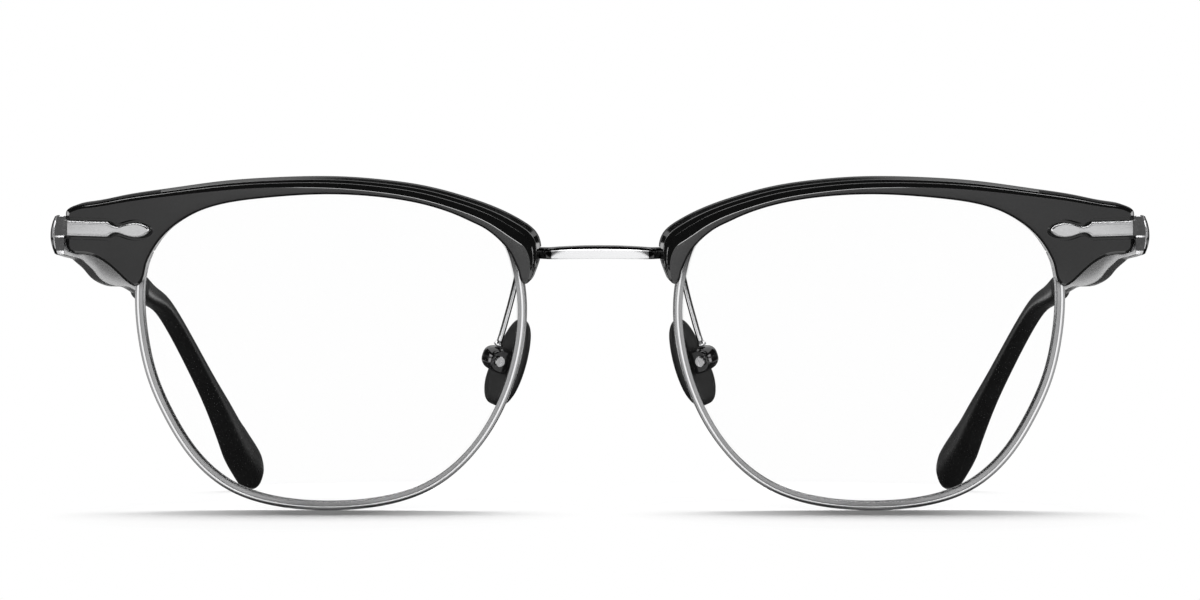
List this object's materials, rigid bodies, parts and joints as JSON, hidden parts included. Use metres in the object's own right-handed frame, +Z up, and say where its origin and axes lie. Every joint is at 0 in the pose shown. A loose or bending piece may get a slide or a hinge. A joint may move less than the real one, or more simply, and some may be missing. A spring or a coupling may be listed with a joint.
{
  "type": "eyeglass frame",
  "caption": "Browline eyeglass frame: black plastic brows on silver metal rims, clear lenses, a bar bridge, nose pads that rock, and hinged temples with black tips that fold in.",
  "frame": {"origin": "middle of the bounding box in plan, on the ground that the rims and the temple tips stand on", "axes": "+Z up, the wearer looks along -Y, and the wearer's left is at +X"},
  "size_m": [0.143, 0.1468, 0.0432],
  "materials": {
    "satin_metal": "satin silver metal",
    "polished_metal": "polished silver metal",
    "black_brow": "black acetate, polished edges and a finely brushed face",
    "black_tip": "black acetate, soft gloss",
    "black_pad": "black silicone, semi matt",
    "clear_lens": "clear uncoated lens"
  },
  "bodies": {
    "front": {"bridge": "satin_metal", "brow_left": "black_brow", "brow_right": "black_brow", "rim_left": "satin_metal", "rim_right": "satin_metal", "lens_left": "clear_lens", "lens_right": "clear_lens", "endpiece_left": "satin_metal", "endpiece_right": "satin_metal", "rim_lock_upper_left": "satin_metal", "rim_lock_upper_right": "satin_metal", "rim_lock_lower_left": "satin_metal", "rim_lock_lower_right": "satin_metal", "rim_lock_screw_left": "polished_metal", "rim_lock_screw_right": "polished_metal", "brow_lug_nose_left": "satin_metal", "brow_lug_nose_right": "satin_metal", "brow_lug_temple_left": "satin_metal", "brow_lug_temple_right": "satin_metal", "brow_screw_nose_left": "polished_metal", "brow_screw_nose_right": "polished_metal", "brow_screw_temple_left": "polished_metal", "brow_screw_temple_right": "polished_metal", "pad_arm_left": "polished_metal", "pad_arm_right": "polished_metal", "pad_box_left": "polished_metal", "pad_box_right": "polished_metal", "pad_screw_left": "polished_metal", "pad_screw_right": "polished_metal", "front_hinge_left": "satin_metal", "front_hinge_right": "satin_metal", "hinge_screw_left": "polished_metal", "hinge_screw_right": "polished_metal"},
    "temple_assembly_left": {"temple_left": "satin_metal", "temple_tip_left": "black_tip", "temple_hinge_left": "satin_metal"},
    "temple_assembly_right": {"temple_right": "satin_metal", "temple_tip_right": "black_tip", "temple_hinge_right": "satin_metal"},
    "nose_pad_assembly_left": {"nose_pad_left": "black_pad", "pad_insert_left": "satin_metal"},
    "nose_pad_assembly_right": {"nose_pad_right": "black_pad", "pad_insert_right": "satin_metal"}
  },
  "joints": [
    {"name": "temple_fold_left", "type": "hinge", "parent": "front", "child": "temple_assembly_left", "pos_m": [0.06822, -0.05758, 0.03577], "axis": [0, 0, 1], "range_deg": [0, 85]},
    {"name": "temple_fold_right", "type": "hinge", "parent": "front", "child": "temple_assembly_right", "pos_m": [-0.06822, -0.05758, 0.03577], "axis": [0, 0, -1], "range_deg": [0, 78]},
    {"name": "nose_pad_rock_left", "type": "hinge", "parent": "front", "child": "nose_pad_assembly_left", "pos_m": [0.01385, -0.06249, 0.0198], "axis": [0.4554, 0.8474, 0.273], "range_deg": [-8, 8]},
    {"name": "nose_pad_rock_right", "type": "hinge", "parent": "front", "child": "nose_pad_assembly_right", "pos_m": [-0.01385, -0.06249, 0.0198], "axis": [-0.4554, 0.8474, 0.273], "range_deg": [-8, 8]}
  ]
}
